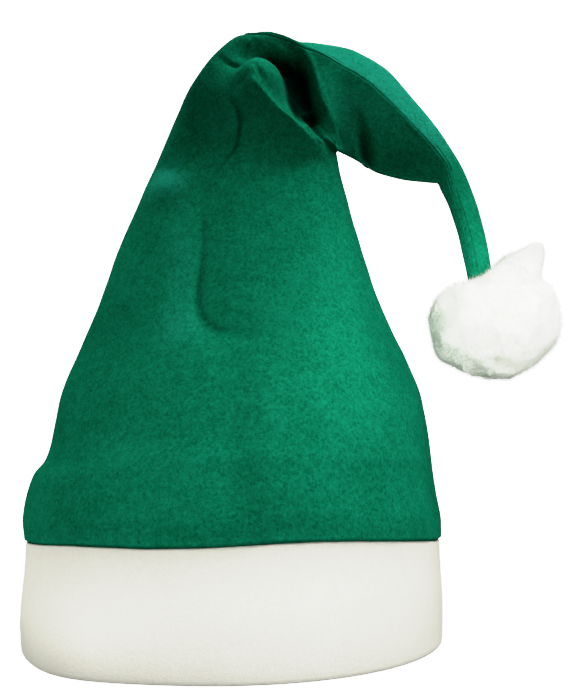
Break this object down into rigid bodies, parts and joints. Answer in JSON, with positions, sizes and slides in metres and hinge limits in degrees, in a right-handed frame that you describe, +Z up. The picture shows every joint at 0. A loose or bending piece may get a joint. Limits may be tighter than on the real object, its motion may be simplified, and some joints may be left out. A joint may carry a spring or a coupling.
{
  "type": "felt santa hat",
  "caption": "Felt santa hat that stands on its band: a hollow cone folded over into a hanging tail that ends in a fluffy pompom.",
  "frame": {"origin": "on the surface that the hat stands on, under the middle of its overall box", "axes": "+Z up from the rim to the fold, +X towards the side where the tail hangs, -Y towards the front"},
  "size_m": [0.2408, 0.1848, 0.2796],
  "materials": {
    "green_felt": "matte needled felt with a short nap",
    "white_felt": "matte needled felt with a short nap",
    "white_fluff": "loose matte fibre"
  },
  "bodies": {
    "root": {"crown": "green_felt", "band": "white_felt", "pompom": "white_fluff"}
  },
  "joints": []
}
